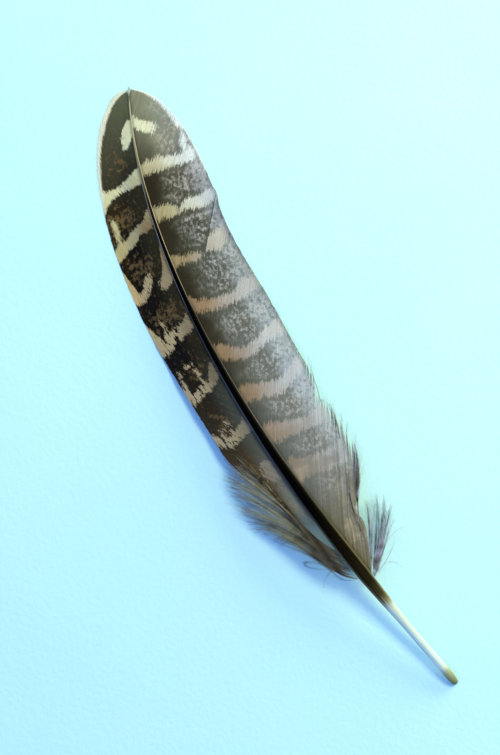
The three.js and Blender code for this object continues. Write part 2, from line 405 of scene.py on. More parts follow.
def vane_height(along, aside, droop, reach, power, wave):
    """The height of the vane's middle: a little above the shaft's middle at the root, less
    droop·(aside/reach)^power, plus the wave, and eased over a millimetre to stay clear of the paper."""
    root = shaft_middle(along) + 0.12 * shaft_width(along) * DEPTH_SHARE
    clear = root - droop * (np.maximum(aside, 0) / reach) ** power + wave - PAPER_CLEARANCE
    return PAPER_CLEARANCE + (clear + np.sqrt(clear**2 + 0.3)) / 2


def blades(along, aside, height, rise, width, side):
    """Rings of three points round each barb: the edge towards the quill, the ridge, and the edge towards
    the tip, which is tucked below the next barb. `height` gives the vane's height at any place and `rise`
    lifts each place above it."""
    step_along = np.gradient(along, axis=1)
    step_aside = np.gradient(aside, axis=1)
    half = BARB_HALF_WIDTH * width / np.hypot(step_along, step_aside)
    rings = []
    for out, up in ((1.0, -0.03), (0.05, 0.05), (-1.0, -0.08)):
        place = along - out * half * step_aside
        beside = aside + out * half * step_along
        rings.append(on_plan(place, side * beside, height(place, beside) + rise + up * width))
    return np.stack(rings[::side], 2)


def inside_bars(along, aside, bars, edge):
    """How many millimetres a place is inside the nearest bar, negative outside. A bar is rows of (aside,
    low edge, high edge), straight between rows, and it ends at its first and last row, except that one
    which starts within 1 of the middle line or ends past `edge` runs on."""
    depth = np.full(along.shape, -50.0)
    for bar in bars:
        where, low, high = np.transpose(bar)
        edges = np.minimum(along - np.interp(aside, where, low), np.interp(aside, where, high) - along)
        start = aside - where[0] if where[0] > 1 else 50
        end = where[-1] - aside if where[-1] < edge else 50
        depth = np.maximum(depth, np.minimum(edges, np.minimum(start, end)))
    return depth


def make_vane(name, along, aside, points, length, values, node, side):
    """The vane's mesh from its barbs' rings. Its map `vane` is (along, aside) and its map `barb` is (root,
    distance along the barb). OFBake lays the barbs side by side: the upper sides in two bands, and the
    undersides in a third."""
    count = len(along)
    faces, corners = tubes(count, BARB_ROWS, 3)
    barb, row, edge, _, first_edge = corners.T
    share = row / (BARB_ROWS - 1)
    below = first_edge == 2
    half = np.where(below, count, (count + 1) // 2)
    column = (barb % half + np.where(below, edge - 2, edge / 2)) / half
    band = np.where(below, 2, barb // half)
    low = np.array([0.63, 0.26, 0.0])[band]
    tall = np.array([0.36, 0.36, 0.25])[band]
    maps = {
        "vane": np.stack([along[barb, row], aside[barb, row]], -1),
        "barb": np.stack([along[barb, 0], share * length[barb]], -1),
        "OFBake": np.stack([0.002 + 0.996 * column, low + tall * share], -1),
    }
    values = {title: np.repeat(numbers + 0 * along, 3) for title, numbers in values.items()}
    return make_piece(name, points, faces, maps, values, node, False)


def shade_beside_shaft(along, aside):
    """Painted shade where the vane meets the shaft: 1 within 0.2 of the shaft's flank, passing smoothly to 0
    over 1.1 more.
    """
    return 1 - smooth((aside - shaft_width(along) / 2 - 0.2) / 1.1)


def rim(aside, reach, depth):
    """0 further in from the vane's edge than `depth`, passing smoothly to 1 over 0.4, and 0 with no depth."""
    return smooth((aside - reach + depth) / 0.4) * (depth > 0)


def wide_edge(along):
    """The wide vane's outline, with the bite out of its edge at 140, a shallower one at 114 and the bump
    at 249."""
    width = vane_width(along, 33.3, 31.3, (0.4, 0.6), -0.13, (0.6, 0.8), 0.8, 1.002, 2.2)
    bite = 3.6 * np.exp(-(((along - 140) / 2.0) ** 2)) + 1.5 * np.exp(-(((along - 114) / 6) ** 2))
    return width - bite + 0.9 * np.exp(-(((along - 249) / 3.5) ** 2))


def wide_height(along, aside):
    """The wide vane's surface: it droops by 9.2 at its widest, with shallow waves that grow outwards."""
    wave = 0.26 * np.sin(along / 7.5 + aside / 6) + 0.2 * np.sin(along / 3.1 - aside / 9 + 1)
    return vane_height(along, aside, 9.2, 33.3, 1.6, wave * smooth(aside / 30))


# Each barb runs on a little past the edge and strays a little outside it, more so near the quill,
# where the barbs are loose.
roots = np.arange(61.0, 303.0, BARB_SPACING)
chance = np.random.default_rng(11)
clump, luck = clumps(roots, 1.6, 4.0, 12)
loose = smooth((118 - roots) / 40)
lengthen = 3.0 + chance.normal(0, 0.4, len(roots)) + luck * (0.3 + 1.3 * loose) - 1.6 * loose
lengthen -= 0.5 * np.abs(roots - clump) * loose
lengthen *= np.clip((303 - roots) / 18, 0.02, 1)
stray = np.abs(chance.normal(0, 0.12, len(roots))) + 2.5 * loose
angle = np.interp(roots, (61, 100, 150, 200, 260, 302), (33, 34, 35, 31, 27, 21))
along, aside, length = barb_lines(roots, angle, 0.15, 70, wide_edge, lengthen, stray)

# The tips of a clump draw together, far more so towards the base. The lowest barbs are swept
# forward, which leaves a hollow in the edge there.
part = np.linspace(0, 1, BARB_ROWS)[None, :]
along += (clump - roots)[:, None] * (0.1 + 0.8 * loose[:, None]) * part**14
lowest_edge = np.interp(along, (62, 70, 80, 88, 92, 98, 104, 112), (4, 9, 13, 15, 18, 24, 28, 32))
hollow = 0.21 * np.exp(-(((along - 89.5) / 6) ** 2))
aside *= 1 - hollow * np.clip(aside / lowest_edge, 0, 1) ** 2

# The vane has come unzipped at one barb, and the part below the split rides up over the part above.
below_split = (197.3 - roots)[:, None]
rise = np.where(below_split > 0, 0.6 * np.exp(-below_split / 6), 0) * smooth((aside - 14) / 10)

width = (1 - 0.75 * part**8) * (1 - 0.15 * loose[:, None]) + 0 * along
points = blades(along, aside, wide_height, rise, width, 1)

# Each bar is a list of (aside, low edge, high edge), from the tip down.
WIDE_BARS = (
    ((0.5, 288, 293.5), (3, 287, 292.2), (5, 285.4, 291.2), (7, 285, 290.4), (9, 286, 290.2),
     (10, 287, 289.5)),
    ((0, 266.5, 271.5), (5, 267, 272.5), (10, 267.5, 273.5), (15, 268, 272.5), (20, 268, 273.5),
     (24, 269, 275.5), (27, 271, 276)),
    ((20, 273, 281), (21.2, 273, 285.5), (22.6, 273, 283)),
    ((0, 244.5, 251), (5, 245, 251.5), (8, 245, 250.5), (10.5, 245.5, 249.5), (12, 245, 247.5),
     (14, 246.5, 250), (16, 246, 251.5), (20, 245.5, 251), (25, 246, 252), (30, 247, 253)),
    ((0, 223, 229), (3, 223, 228), (5, 223.5, 227), (8, 223, 226.5), (12, 222, 226), (14, 223, 225.5)),
    ((0, 201, 210), (2, 200.5, 208), (4, 200, 206), (8, 199, 204.5), (12, 198, 203), (15, 197.5, 203.5),
     (20, 198, 202.5), (25, 197.5, 206), (31, 199, 206)),
    ((0, 178, 185.5), (5, 176, 184), (10, 173.5, 179), (15, 172, 177.5), (20, 174, 178.5), (25, 175, 181),
     (32, 174, 182)),
    ((0, 156, 163.5), (5, 155.3, 163.3), (10, 154, 161), (15, 151, 158.5), (20, 151.5, 157.5),
     (25, 153, 159), (32, 156, 162)),
    ((0, 135, 143), (5, 134, 143.5), (10, 133, 141), (15, 132, 138.5), (20, 131, 136.5), (26, 130, 137)),
    ((0, 113, 124), (5, 113.5, 125), (10, 113, 121.5), (15, 111, 120), (20, 110, 119), (26, 108, 119)),
    ((11, 95, 101), (14, 93, 103), (20, 98, 106)),
    ((5, 79, 86), (8, 79, 89), (11, 82, 88)),
)
PATCH_BELOW_SPLIT = (
    (14, 224.5, 226), (18, 224, 229.5), (21, 222.5, 231.5), (24, 223, 233), (26, 224.5, 234.5),
    (28, 227, 236.5), (31, 230, 240),
)
bars = inside_bars(along, aside, WIDE_BARS, 23.5)
patch = inside_bars(along, aside, (PATCH_BELOW_SPLIT,), 23.5) - 0.5
bars = np.where(below_split > 0, np.maximum(bars, patch), bars)
bars += 0.35 * chance.normal(0, 1, (len(roots), 1))
tone = chance.normal(0, 1, (len(roots), 1)) * (1 + 1.4 * loose[:, None])
tone = tone + 0.8 * luck[:, None] * part**3
reach = wide_edge(along)

# A cream fringe runs round the tip, and a dark hem along the edge below it. A painted shadow lies on the
# barbs just above the split, where the raised part below it shades them.
fringe_places = (262, 264, 278, 284, 286, 290, 296, 304)
fringe_depth = np.interp(along, fringe_places, (0, 0.5, 0.5, 0.2, 2.2, 2.2, 1.5, 1.1))
fringe = rim(aside, reach, fringe_depth)
hem = smooth((aside - reach + 1.0) / 0.6)
hem = hem * smooth((along - 146) / 6) * smooth((286 - along) / 2)
split_shadow = np.where(below_split < 0, np.exp(below_split / 0.7), 0) * smooth((aside - 15) / 3)
shaft_shade = shade_beside_shaft(along, aside)

wide_vane = make_vane(
    "wide_vane_barbs", along, aside, points, length,
    {"bar": bars, "tone": tone, "fringe": fringe, "hem": hem, "split_shadow": split_shadow, "shaft_shade": shaft_shade},
    "wide_vane", 1,
)


def grained(colour, fine):
    """The colour times 1 + 0.07·tone, the barb's own number, and times 0.75 + 0.5·fine."""
    brightness = scaled(value_of("tone"), 0.07, 1.0)
    brightness = times(brightness, scaled(fine, 0.5, 0.75))
    shade = add_node("CombineXYZ", brightness, brightness, brightness).outputs[0]
    return paint(1.0, colour, shade, "MULTIPLY")


vane_grey, tree, surface = new_finish("grey_vane")
u, aside = add_node("SeparateXYZ", map_of("vane", 1 / SHAFT_LENGTH, 1.0)).outputs[:2]
fine = noise(map_of("barb", 1.9, 0.75), 1.0, 3.0, 0.6)
broad = noise(map_of("vane", 0.16, 0.13), 1.0, 3.0)
blobs = noise(map_of("vane", 0.56, 0.64), 1.0, 4.0, 0.62)
teeth = noise(map_of("barb", 0.6, 0.09), 1.0, 2.0)
strayed = strayed_by(aside, (broad, 9.0))

# The ground is darkest beside the shaft and palest at the edge, and so are the bars.
near_shaft = colours_by(
    u, (0.26, 108, 103, 80), (0.36, 98, 102, 92), (0.56, 56, 56, 46),
    (0.65, 36, 32, 20), (0.87, 30, 26, 14), (1.0, 134, 140, 118),
)
midway = colours_by(
    u, (0.28, 118, 118, 106), (0.42, 111, 115, 107), (0.78, 63, 67, 55),
    (0.86, 72, 71, 58), (0.92, 130, 134, 116), (1.0, 142, 150, 128),
)
far_out = colours_by(
    u, (0.28, 136, 136, 126), (0.48, 154, 168, 174), (0.62, 138, 150, 154),
    (0.80, 142, 150, 147), (0.87, 188, 194, 184), (1.0, 160, 166, 148),
)
ground = paint(fade(strayed, 2.0, 14.0), near_shaft, midway)
ground = paint(fade(strayed, 18.0, 28.0), ground, far_out)

# Pale dots lie in clusters between the bars, and dark ones further out.
bar_depth = value_of("bar")
dotted = times(fade(strayed, 5.0, 17.0), fade(bar_depth, -0.8, -4.2))
clusters = strayed_by(blobs, (broad, 0.35))
pale_dots = times(fade(clusters, 0.44, 0.66), dotted)
pale = colours_by(
    u, (0.3, 172, 172, 166), (0.55, 178, 182, 178), (0.75, 176, 178, 172), (0.86, 188, 184, 172),
    (0.91, 192, 186, 160), (1.0, 186, 188, 162),
)
dark_dots = times(fade(blobs, 0.47, 0.38), fade(strayed, 12.0, 24.0))
ground = paint(times(dark_dots, 0.55), ground, midway)
ground = paint(times(pale_dots, 0.66), ground, pale)
bar_near = colours_by(
    u, (0.26, 178, 168, 138), (0.33, 134, 124, 104), (0.38, 166, 150, 124), (0.52, 137, 117, 93),
    (0.70, 145, 123, 94), (0.82, 162, 158, 122), (0.88, 172, 168, 138), (0.94, 212, 218, 190),
)
bar_far = colours_by(
    u, (0.34, 152, 156, 152), (0.52, 174, 180, 180), (0.75, 168, 168, 158), (0.82, 202, 210, 198),
    (0.89, 228, 238, 222),
)
bar_colour = paint(fade(strayed, 3.0, 26.0), bar_near, bar_far)

# The bars' edges are toothed along the barbs, and the bars are fainter and more broken towards the quill.
depth = strayed_by(bar_depth, (fine, 3.2), (teeth, 5.0), (blobs, 4.5))
in_bar = fade(depth, -1.0, 0.9)
clearness = fade(u, 0.24, 0.56)
broken = times(fade(broad, 0.62, 0.40), fade(u, 0.50, 0.36))
clearness = scaled(broken, -0.4, scaled(clearness, 0.35, 0.62))
in_bar = times(in_bar, clearness)
colour = paint(in_bar, ground, bar_colour)
colour = paint(times(value_of("hem"), 0.55), colour, rgb(70, 74, 68))
colour = paint(value_of("fringe"), colour, rgb(232, 240, 222))
# Painted shadow along the split.
colour = paint(times(value_of("split_shadow"), 0.7), colour, rgb(56, 54, 46))
# Painted shade darkens the barbs where they leave the shaft.
colour = paint(times(value_of("shaft_shade"), 0.45), colour, rgb(40, 38, 28))

# A faint blue is painted on the vane as the blue sky's reflection, except beside the shaft in its upper
# half and at its foot.
sky_reflection = sums("MAXIMUM", fade(strayed, 5.0, 15.0), fade(u, 0.56, 0.46))
sky_reflection = times(sky_reflection, fade(u, 0.29, 0.38))
colour = paint(sky_reflection, colour, paint(1.0, colour, (1.0, 1.03, 1.2, 1.0), "MULTIPLY"))
set_surface(grained(colour, fine), scaled(fine, 0.25, 0.42), 0.08)
surface.inputs["Sheen Weight"].default_value = 0.03
wide_vane.data.materials.append(vane_grey)

# ---- Narrow vane -------------------------------------------------
# The leading vane, half as wide. Its barbs are stiffer and darker, and bend hard towards the tip to
# make a thick outer edge. Cream bars with ragged rusty patches above them cross near black, and a
# cream margin runs round the tip.


def narrow_edge(along):
    """The narrow vane's outline, which starts narrow, because its lowest outer barbs are loose."""
    return vane_width(along, 18.6, 9.6, (0.345, 0.465), 0.13, (0.5, 0.7), 0.74, 1.0, 2.5)


def narrow_height(along, aside):
    """The narrow vane's surface: it droops by 8.2 at its widest, with slight waves that grow outwards."""
    wave = 0.2 * np.sin(along / 6 + aside / 4) + 0.15 * np.sin(along / 2.6 - aside / 5)
    return vane_height(along, aside, 8.2, 18.6, 1.35, wave * smooth(aside / 18))


roots = np.arange(75.0, 303.0, BARB_SPACING)
chance = np.random.default_rng(21)
clump, luck = clumps(roots, 2.0, 5.0, 22)
loose = smooth((112 - roots) / 25)
lengthen = 2.5 + chance.normal(0, 0.3, len(roots)) + luck * (0.3 + 1.5 * loose)
lengthen *= np.clip((303 - roots) / 18, 0.02, 1)

# The edge is firm, but towards the tip single barbs stand out from it.
ragged = 0.1 + 0.35 * smooth((roots - 215) / 10)
stray = np.abs(chance.normal(0, 1, len(roots))) * ragged + 0.05 + 2 * loose
angle = np.interp(roots, (75, 200, 270, 302), (38, 38, 34, 26))
along, aside, length = barb_lines(roots, angle, 0.6, 42, narrow_edge, lengthen, stray)
along += (clump - roots)[:, None] * (0.25 + 0.55 * loose[:, None]) * part**12

# The lowest barbs have lost their barbules and stand apart, with the paper showing between them.
thin = 1 - 0.72 * smooth((106 - roots) / 16)[:, None]
width = (1 - 0.6 * part**8) * thin + 0 * along
points = blades(along, aside, narrow_height, 0, width, -1)

NARROW_BARS = (
    ((0.8, 284, 292), (2.5, 281, 291.5), (4.5, 279, 288), (5.5, 279.5, 285)),
    ((0, 263, 271), (5, 262.5, 267.8), (10, 261.8, 265), (15, 260.5, 263.8), (18, 258, 264), (20, 255, 264)),
    ((0, 244, 253), (3, 242.5, 250), (5, 242, 247), (8, 242.6, 246), (10, 240, 245), (12, 238.5, 244),
     (15, 237.5, 241.5), (18, 235.5, 242), (21, 234, 239)),
    ((16.6, 240, 251), (18.6, 240, 252)),
    ((1, 219, 237), (3, 217, 228), (4, 216.5, 224), (6, 215.5, 221), (8.5, 217, 219.5)),
    ((10, 222, 226), (12, 218.5, 225), (14, 216.5, 223), (16, 215, 219.5), (18, 214.3, 219), (21, 215, 230)),
    ((2, 196, 204), (5, 194, 200), (7, 195, 200), (9, 193, 199.5), (11, 194.5, 198.5), (14, 191.5, 199),
     (17, 190, 197), (21, 190.5, 206)),
    ((13, 197, 203), (14.6, 197, 205)),
    ((2, 172, 180), (5, 169.5, 176.5), (8, 168, 171.5), (10, 168, 173), (13, 167.5, 171.5),
     (16, 166.5, 171), (18, 166, 175), (21, 166, 176)),
    ((9, 171, 179), (10.6, 171, 181)),
    ((10, 180.6, 182.8), (14, 181, 183)),
    ((17, 172, 182), (18.2, 172, 182)),
    ((2, 145, 153), (5, 144, 149), (8, 143.5, 148.5), (10, 143, 148), (13, 142, 147), (15, 143, 147),
     (18, 145, 152), (20, 146, 153)),
    ((9.2, 146, 153), (10.8, 146, 154)),
    ((13.2, 146, 151), (14.8, 146, 152)),
    ((3, 120, 130), (7, 121, 131), (9, 122, 128)),
)
RUSTY_PATCHES = (
    ((7, 248, 255), (12, 247, 256), (16, 245, 255), (20, 243, 252)),
    ((7, 224, 232), (12, 226, 233), (18, 223, 232)),
    ((4, 203, 209), (10, 200, 210), (17, 199, 209)),
    ((8, 177, 183), (13, 176, 182)),
    ((9, 151, 157), (14, 150, 158)),
    ((8, 120, 135), (15, 118, 134)),
    ((7, 273.5, 276.5), (9, 272, 278), (11, 273.5, 276.5)),
)
bars = inside_bars(along, aside, NARROW_BARS, 19.5)
bars += 0.3 * chance.normal(0, 1, (len(roots), 1))
rusty = np.maximum(inside_bars(along, aside, RUSTY_PATCHES, 19.5), -6)
tone = chance.normal(0, 1, (len(roots), 1)) + 0.7 * luck[:, None] * part**3
reach = narrow_edge(along)
margin_depth = np.interp(along, (258, 262, 270, 284, 290, 304), (0, 1.0, 0.9, 1.1, 1.7, 1.6))
margin = rim(aside, reach, margin_depth)
shaft_shade = shade_beside_shaft(along, aside)

narrow_vane = make_vane(
    "narrow_vane_barbs", along, aside, points, length,
    {"bar": bars, "rusty": rusty, "tone": tone, "fringe": margin, "shaft_shade": shaft_shade},
    "narrow_vane", -1,
)

vane_dark, tree, surface = new_finish("dark_vane")
u, aside = add_node("SeparateXYZ", map_of("vane", 1 / SHAFT_LENGTH, 1.0)).outputs[:2]
fine = noise(map_of("barb", 1.7, 0.8), 1.0, 3.0, 0.6)
blobs = noise(map_of("vane", 0.5, 0.62), 1.0, 4.0, 0.7)
broad = noise(map_of("vane", 0.3, 0.24), 1.0, 3.0)
dashes = noise(map_of("barb", 0.34, 0.3), 1.0, 3.0, 0.6)
outwards = fade(aside, 4.0, 12.0)
near_shaft = colours_by(
    u, (0.25, 124, 116, 82), (0.35, 146, 146, 121), (0.45, 92, 96, 80), (0.53, 72, 78, 64),
    (0.60, 44, 42, 24), (0.88, 46, 43, 25), (1.0, 94, 104, 80),
)
far_out = colours_by(
    u, (0.30, 120, 106, 68), (0.38, 112, 99, 64), (0.42, 92, 74, 46), (0.47, 66, 55, 33),
    (0.61, 15, 11, 4), (0.78, 16, 12, 3), (0.84, 38, 32, 14), (1.0, 88, 94, 74),
)
ground = paint(outwards, near_shaft, far_out)

# Rusty flecks are scattered over the whole vane, and gather in the patches.
patch = fade(strayed_by(value_of("rusty"), (broad, 16.0)), -2.6, 3.0)
rusted = fade(scaled(patch, 0.16, blobs), 0.54, 0.72)
ground = paint(times(rusted, 0.85), ground, rgb(112, 92, 56))
bar_near = colours_by(
    u, (0.38, 166, 158, 128), (0.57, 134, 122, 90), (0.72, 169, 153, 111), (0.79, 144, 116, 72),
    (0.87, 200, 200, 154), (0.93, 226, 230, 184),
)
bar_far = colours_by(
    u, (0.38, 166, 152, 116), (0.50, 204, 182, 132), (0.72, 202, 180, 126), (0.79, 186, 178, 128),
    (0.87, 218, 220, 176), (0.93, 222, 228, 184),
)
bar_colour = paint(outwards, bar_near, bar_far)
depth = strayed_by(value_of("bar"), (fine, 2.4), (blobs, 3.6))

# Dark dashes along the barbs cut into the outer half of the bars.
dashed = times(fade(dashes, 0.52, 0.60), fade(aside, 6.0, 9.0))
dashed = times(dashed, fade(u, 0.80, 0.68))
in_bar = fade(scaled(dashed, -3.0, depth), -0.6, 0.5)
in_bar = times(in_bar, scaled(fade(u, 0.34, 0.50), 0.4, 0.6))
colour = paint(in_bar, ground, bar_colour)
colour = paint(value_of("fringe"), colour, rgb(224, 230, 206))
# Painted shade darkens the barbs where they leave the shaft.
colour = paint(times(value_of("shaft_shade"), 0.35), colour, rgb(40, 38, 28))
set_surface(grained(colour, fine), scaled(fine, 0.25, 0.40), 0.06)
surface.inputs["Sheen Weight"].default_value = 0.02
narrow_vane.data.materials.append(vane_dark)

# ---- Down --------------------------------------------------------
# Below the vanes the barbs are soft and have no hooks, so each hangs free as a strand fringed with
# fine barbules. One tuft grows on each side of the shaft and spreads over the paper. The one beside the
# narrow vane is in two layers.

STRAND_ROWS = 21
BARBULE_RADIUS = 0.06
BARBULE_SPACING = 0.45
DOWN_CLEARANCE = 0.1


def bezier(controls):
    """Evenly timed points of Bézier curves: the control points weighted by n-choose-k·t^k·(1 − t)^(n − k)."""
    degree = controls.shape[1] - 1
    t = np.linspace(0, 1, STRAND_ROWS)[:, None]
    k = np.arange(degree + 1)
    choose = np.cumprod(np.concatenate([[1.0], (degree - k[:-1]) / (k[:-1] + 1)]))
    return np.einsum("rk,nkc->nrc", choose * t**k * (1 - t) ** (degree - k), controls)


def strands(guides, places, clump, jitter, curl, seed):
    """The middle lines of strands: Bézier curves through control points (along, aside, height), which lie
    between one guide and the next as `places` says, from 0 at the first to 1 at the last. Each control
    point strays by `jitter` (along, aside, height), more and more towards the tip, and strands with the
    same `clump` number mostly stray together. Each line then swings by `curl` times the square of the share
    of the way, as a sine of that share."""
    chance = np.random.default_rng(seed)
    guides = np.array(guides, float)
    place = np.clip(places, 0, 0.9999) * (len(guides) - 1)
    low = place.astype(int)
    part = (place - low)[:, None, None]
    controls = guides[low] * (1 - part) + guides[low + 1] * part
    growing = np.linspace(0, 1, controls.shape[1])[None, :, None] ** 2
    together = chance.normal(0, 1, (clump.max() + 1, *controls.shape[1:]))[clump]
    alone = chance.normal(0, 1, controls.shape)
    lines = bezier(controls + (0.8 * together + 0.5 * alone) * growing * np.array(jitter))
    way = np.linspace(0, 1, STRAND_ROWS)
    start = chance.uniform(0, 6.3, clump.max() + 1)[clump] + chance.normal(0, 0.7, len(lines))
    swing = curl * way**2 * np.sin(chance.uniform(6, 11, len(lines))[:, None] * way + start[:, None])
    lines[..., 0] += 0.6 * swing
    lines[..., 1] += swing
    return lines


def strand_rings(lines, thick, side):
    """Rings of three points round each middle line, with a radius of thick·(1 − 0.75·way^1.6), less where
    the first third grows smoothly to it from three tenths. No point is closer to the paper than 0.1."""
    step = np.gradient(lines, axis=1)
    step /= np.linalg.norm(step, axis=2, keepdims=True)
    beside = np.stack([-step[..., 1], step[..., 0], 0 * step[..., 2]], -1)
    way = np.linspace(0, 1, lines.shape[1])
    radius = thick[:, None, None] * ((1 - 0.75 * way**1.6) * (0.3 + 0.7 * smooth(way * 3)))[None, :, None]
    over = np.array([0, 0, 1.0])
    offsets = [np.cos(turn) * beside + np.sin(turn) * over for turn in np.radians([-30, 90, 210])]
    rings = lines[:, :, None, :] + radius[..., None] * np.stack(offsets[::side], 2)
    rings[..., 2] = np.maximum(rings[..., 2], DOWN_CLEARANCE)
    return on_plan(rings[..., 0], side * rings[..., 1], rings[..., 2])


def barbules(lines, length, bare, seed):
    """Fine straight spikes off each strand above its bare share, to its two sides in turn and 25° to 60°
    forward, shorter towards its tip. Also which strand each is on, and how far up it."""
    chance = np.random.default_rng(seed)
    count = int(np.linalg.norm(np.diff(lines, axis=1), axis=2).sum(1).mean() / BARBULE_SPACING)
    share = (np.arange(count) + chance.uniform(0, 1, (len(lines), count))) / count
    place = (bare + (0.98 - bare) * share) * (STRAND_ROWS - 1.01)
    low = place.astype(int)
    part = (place - low)[..., None]
    strand = np.arange(len(lines))[:, None] + 0 * low
    root = lines[strand, low] * (1 - part) + lines[strand, low + 1] * part
    step = lines[strand, low + 1] - lines[strand, low]
    step /= np.linalg.norm(step, axis=2, keepdims=True)
    hand = np.where(np.arange(count) % 2 == 0, 1.0, -1.0)[None, :, None]
    beside = np.stack([-step[..., 1], step[..., 0], 0 * step[..., 2]], -1) * hand
    angle = np.radians(chance.uniform(25, 60, share.shape))[..., None]
    way = np.cos(angle) * step + np.sin(angle) * beside + chance.normal(0, 0.2, root.shape) * (0, 0, 1)
    long = length * (chance.uniform(0.5, 1.2, share.shape) * (1 - 0.6 * share))[..., None]
    return np.stack([root, root + way * long], 2).reshape(-1, 2, 3), strand.ravel(), share.ravel()


def make_tuft(name, lines, thick, barbule_length, bare, paleness, node, side, seed):
    """A tuft's mesh: the strands, then their barbules. Two values colour it: `end`, the share of the way up
    the strand, and `tone`, one random number a strand, round `paleness`. OFBake gives each strand a column
    below and each barbule a cell above."""
    spikes, strand, share = barbules(lines, barbule_length, bare, seed)
    tone = np.random.default_rng(seed + 1).normal(paleness, 1, len(lines))
    strand_points = strand_rings(lines, thick, side).reshape(-1, 3)
    spike_points = strand_rings(spikes, BARBULE_RADIUS + 0 * share, side).reshape(-1, 3)
    strand_faces, corners = tubes(len(lines), STRAND_ROWS, 3)
    tube, row, edge = corners.T[:3]
    column = (tube + 0.1 + 0.27 * edge) / len(lines)
    strand_cells = np.stack([column, 0.01 + 0.38 * row / (STRAND_ROWS - 1)], -1)
    spike_faces, corners = tubes(len(spikes), 2, 3, len(strand_points))
    tube, row, edge = corners.T[:3]
    grid = int(np.ceil(np.sqrt(len(spikes))))
    column = (tube % grid + 0.1 + 0.27 * edge) / grid
    spike_cells = np.stack([column, 0.41 + 0.58 * (tube // grid + 0.1 + 0.8 * row) / grid], -1)
    way = np.tile(np.linspace(0, 1, STRAND_ROWS), len(lines))
    values = {
        "end": np.concatenate([np.repeat(way, 3), np.repeat(share, 6)]),
        "tone": np.concatenate([np.repeat(tone, STRAND_ROWS * 3), np.repeat(tone[strand], 6)]),
    }
    points = np.concatenate([strand_points, spike_points])
    maps = {"OFBake": np.concatenate([strand_cells, spike_cells])}
    return make_piece(name, points, strand_faces + spike_faces, maps, values, node, True)


# The tuft beside the narrow vane: each guide is a strand's control points (along, aside, height). The
# strands leave the shaft under the vane, come out in one streak above it, and fan out in clumps. The
# upper layer also has the dark strands of the streak, and seven strays at the foot.
NARROW_FAN = (
    ((65, 3.2, 10.4), (69, 8.5, 10), (76, 10.8, 10.6), (83, 11, 10.4), (90, 14.5, 7.6), (98, 21, 2)),
    ((70, 3.2, 10.8), (75, 8.2, 10.4), (82, 10.6, 11.2), (90, 10.8, 11), (99, 16, 8), (108, 24.5, 2)),
    ((73.5, 3.2, 11.2), (79, 8, 10.8), (87, 10.2, 11.6), (97, 10.4, 11.6), (107, 17, 8), (117, 27, 2)),
    ((76, 3.2, 11.5), (82, 8, 11.2), (92, 9.8, 12), (104, 9.4, 12), (115, 16, 8.4), (125, 25.5, 2.4)),
    ((78, 3.2, 11.7), (85.5, 8, 11.4), (98, 9.2, 12.2), (112, 9.2, 12), (122, 14.5, 8.8), (131, 22, 3)),
    ((80, 3.2, 11.8), (89.5, 8, 11.4), (104, 8.8, 12.2), (119, 9.8, 12), (129, 14, 9), (137, 18.6, 3.4)),
    ((82, 3.2, 12), (93, 8.2, 11.4), (110, 8.6, 12.2), (125, 10.8, 11.4), (134, 14, 9), (142, 17, 4)),
)
NARROW_STREAK = (
    ((68, 3.2, 10.8), (76, 10.6, 11), (86, 10, 11.8), (95, 9, 12.2), (105, 8.4, 12), (113, 9.2, 11.2)),
    ((72, 3.2, 11.2), (82, 10.4, 11.4), (94, 8.8, 12.2), (106, 8.4, 12.4), (117, 9.4, 11.8),
     (127, 11.6, 10.4)),
    ((76, 3.2, 11.6), (88, 10, 11.6), (101, 8.4, 12.4), (113, 8.9, 12.2), (125, 10.6, 11.2), (137, 14, 9)),
)
NARROW_STRAYS = (
    ((66, 3, 9), (70, 10, 9), (81, 8, 8), (81, 15, 5), (84.6, 18.4, 2)),
    ((65, 3, 9), (66, 8, 9), (70, 13, 8), (80, 8, 9), (83, 12, 7)),
    ((65.5, 3, 9), (72, 0.5, 8), (76, 5, 8), (76, 14, 5), (69.5, 18, 1.5)),
    ((79, 10.2, 9.5), (85, 15, 7), (87, 20, 4), (81, 20.5, 2), (75.4, 10.5, 4)),
    ((68, 3, 9), (78, 13, 9), (88, 12, 7), (90, 18, 3), (99.5, 22.5, 1)),
    ((69, 3, 9), (80, 12, 9), (92, 12, 7), (96, 16, 3), (102, 21.6, 1)),
    ((70, 3, 9), (84, 12, 9), (98, 12, 7), (103, 19, 3), (110, 29, 1)),
)
chance = np.random.default_rng(31)
clump = np.repeat(np.arange(18), 9)
places = (clump + chance.uniform(0, 0.75, len(clump))) / 19
lines = strands(NARROW_FAN, places, clump, (4.4, 2.1, 0.8), 0.7, 32)
thick = chance.uniform(0.06, 0.12, len(lines))
lower_down = make_tuft(
    "narrow_side_lower_down", lines, thick, 1.7, 0.34, -0.2, "down_narrow_side", -1, 34)
clump = np.repeat(np.arange(14), 9)
places = (clump + chance.uniform(0, 0.75, len(clump))) / 15
fan = strands(NARROW_FAN, places, clump, (4.2, 2.2, 0.8), 0.8, 52) + [0, 0, 0.5]
streak = strands(NARROW_STREAK, chance.uniform(0, 1, 36), np.arange(36) // 3, (2.4, 0.8, 0.3), 0.3, 33)
odd = np.concatenate([streak, bezier(np.array(NARROW_STRAYS, float))])
lines = np.concatenate([fan, odd])
thick = np.concatenate([chance.uniform(0.06, 0.13, len(fan)), np.full(len(odd), 0.11)])
paleness = np.concatenate([np.full(len(fan), 0.5), np.full(len(odd), -1.8)])
upper_down = make_tuft(
    "narrow_side_upper_down", lines, thick, 1.7, 0.3, paleness,
    "down_narrow_side", -1, 35)

